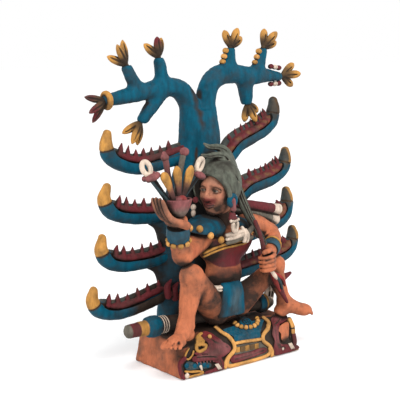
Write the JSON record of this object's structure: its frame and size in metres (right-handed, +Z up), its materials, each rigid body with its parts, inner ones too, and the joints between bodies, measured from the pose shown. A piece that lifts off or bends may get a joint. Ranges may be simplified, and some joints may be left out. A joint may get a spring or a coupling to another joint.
{
  "type": "clay tree of life",
  "caption": "Painted clay tree of life: a forked tree with flowers and toothed jaws, a seated figure with a bowl and a staff, on a carved block base.",
  "frame": {"origin": "centre of the base block's flat underside", "axes": "+Z up along the tree, the seated figure and the carved front on the -Y side, +X along the base to the figure's left"},
  "size_m": [0.3199, 0.1171, 0.3941],
  "materials": {
    "teal_clay": "matte painted fired clay",
    "ochre_clay": "matte painted fired clay",
    "maroon_clay": "matte painted fired clay",
    "terracotta_clay": "matte painted fired clay",
    "grey_green_clay": "matte painted fired clay",
    "cream_clay": "matte painted fired clay",
    "umber_clay": "matte painted fired clay"
  },
  "bodies": {
    "root": {"base_block": "terracotta_clay", "bead_arc": "ochre_clay", "bead_row_inner": "ochre_clay", "bead_row_outer": "ochre_clay", "belt": "cream_clay", "bowl": "maroon_clay", "branch_ring": "ochre_clay", "centre_panel": "teal_clay", "ceremonial_bar": "umber_clay", "chest_band": "ochre_clay", "ear_ornament": "teal_clay", "flower_left_end": "maroon_clay", "flower_left_inner": "ochre_clay", "flower_left_outer": "ochre_clay", "flower_left_under": "ochre_clay", "flower_right_end": "ochre_clay", "flower_right_inner": "ochre_clay", "flower_right_outer": "ochre_clay", "flower_right_under": "ochre_clay", "gum_left_1": "maroon_clay", "gum_left_2": "maroon_clay", "gum_left_3": "maroon_clay", "gum_left_4": "maroon_clay", "gum_right_1": "maroon_clay", "gum_right_2": "maroon_clay", "gum_right_3": "maroon_clay", "gum_right_4": "maroon_clay", "hair": "grey_green_clay", "hair_lock": "grey_green_clay", "head": "terracotta_clay", "jaw_left_1": "teal_clay", "jaw_left_2": "teal_clay", "jaw_left_3": "teal_clay", "jaw_left_4": "teal_clay", "jaw_right_1": "teal_clay", "jaw_right_2": "teal_clay", "jaw_right_3": "teal_clay", "jaw_right_4": "teal_clay", "knot_bundle": "cream_clay", "left_arm": "terracotta_clay", "left_cuff": "teal_clay", "left_leg": "terracotta_clay", "loincloth": "teal_clay", "offering": "cream_clay", "right_arm": "terracotta_clay", "right_cuff": "teal_clay", "right_leg": "terracotta_clay", "root_spur": "maroon_clay", "scroll_bundle": "maroon_clay", "seed_bar_lower": "maroon_clay", "seed_bar_upper": "maroon_clay", "serpent_relief_left": "maroon_clay", "serpent_relief_right": "maroon_clay", "shoulder_cape": "teal_clay", "staff": "maroon_clay", "torso": "terracotta_clay", "tree_trunk": "teal_clay", "water_disc": "teal_clay", "wavy_border_left": "ochre_clay", "wavy_border_right": "ochre_clay"}
  },
  "joints": []
}
